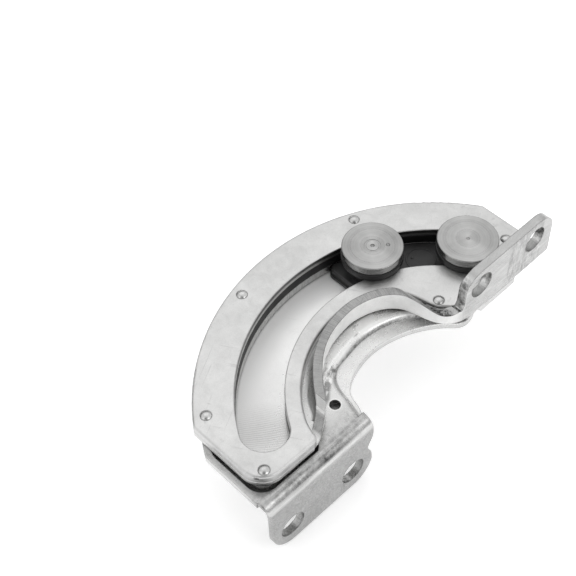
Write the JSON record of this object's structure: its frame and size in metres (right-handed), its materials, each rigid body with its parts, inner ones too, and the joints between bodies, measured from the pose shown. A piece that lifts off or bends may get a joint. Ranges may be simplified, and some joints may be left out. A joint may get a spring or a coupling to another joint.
{
  "type": "arc slide hinge",
  "caption": "Concealed furniture hinge with a curved slot guide: a dished leaf on flanged studs swings about an axis in free space between two drilled mounting flanges.",
  "frame": {"origin": "midpoint between the two holes of the fixed flange, on its mounting face", "axes": "+X along the flange towards its free end, -Y out of both mounting faces, +Z along the swing axis towards the stud heads"},
  "size_m": [0.071, 0.0357, 0.0274],
  "materials": {
    "plated_steel": "bright zinc-plated, satin",
    "pressed_steel": "bright zinc-plated pressed sheet, rubbed along the edges",
    "rivet_steel": "plain bright rivet heads",
    "black_liner": "black, slightly waxy",
    "leaf_steel": "bright zinc-plated pressed sheet, glossy in the dish",
    "black_shoe": "black, moulded",
    "turned_steel": "lathe-turned face with concentric marks",
    "black_collar": "black, moulded",
    "washer_steel": "grey stamped steel",
    "black_washer": "black, matt",
    "tail_steel": "grey stamped steel"
  },
  "bodies": {
    "fixed_half": {"guide_plate": "plated_steel", "housing_pan": "pressed_steel", "housing_rivets": "rivet_steel", "track_liner": "black_liner"},
    "moving_half": {"swing_plate": "leaf_steel", "slider_shoe": "black_shoe", "stud_left": "turned_steel", "stud_right": "turned_steel", "collar_left": "black_collar", "collar_right": "black_collar", "steel_washer_left": "washer_steel", "steel_washer_right": "washer_steel", "nylon_washer_left": "black_washer", "nylon_washer_right": "black_washer", "tail_washers": "tail_steel"}
  },
  "joints": [
    {"name": "leaf_swing", "type": "hinge", "parent": "fixed_half", "child": "moving_half", "pos_m": [-0.0245, -0.0075, -0.0046], "axis": [0, 0, 1], "range_deg": [0, 74]}
  ]
}
